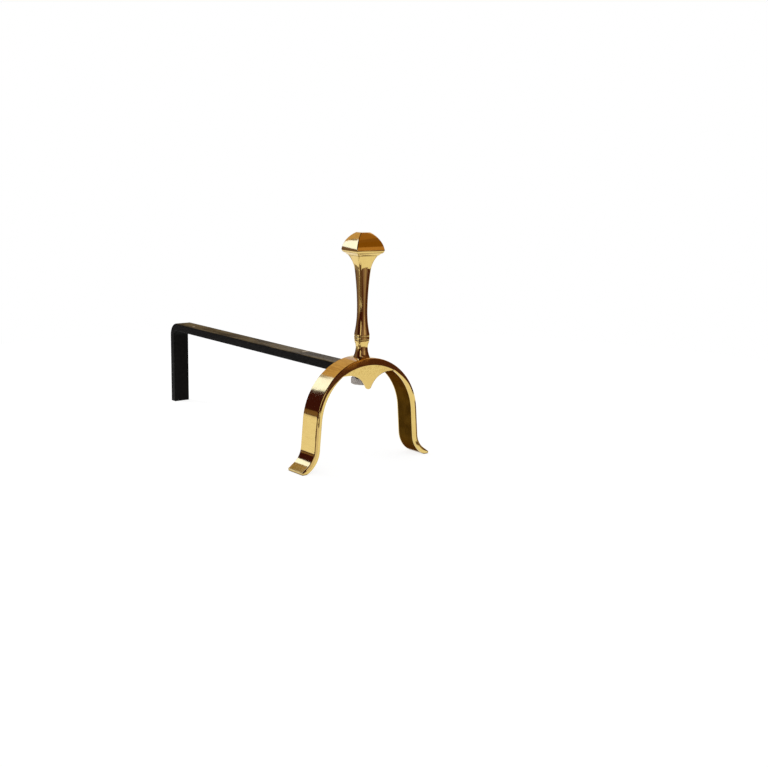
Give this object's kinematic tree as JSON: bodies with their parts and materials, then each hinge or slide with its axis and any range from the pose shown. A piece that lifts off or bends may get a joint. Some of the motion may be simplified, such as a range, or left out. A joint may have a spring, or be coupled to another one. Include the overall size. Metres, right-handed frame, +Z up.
{
  "type": "andiron",
  "caption": "Andiron (fire dog): polished brass arch with turned-out toes, square waisted post with cushion finial, and a black iron log bar bent down as the rear leg.",
  "frame": {"origin": "on the hearth, at the centre of the overall bounding box's bottom face", "axes": "+Z up; -Y towards the room, the side of the brass arch and post; +Y towards the fire, along the log bar; +X to the right seen from the room"},
  "size_m": [0.2106, 0.5218, 0.305],
  "materials": {
    "brass": "polished, unlacquered, with casting lines left on the inner faces",
    "black_iron": "satin black, worn brown along the top",
    "steel": "plain zinc-grey turned steel"
  },
  "bodies": {
    "root": {"arch_legs": "brass", "post_base": "brass", "post_collar": "brass", "post_shaft": "brass", "finial_cap": "brass", "log_bar": "black_iron", "tie_rod": "steel", "washer": "steel", "hex_nut": "steel"}
  },
  "joints": []
}
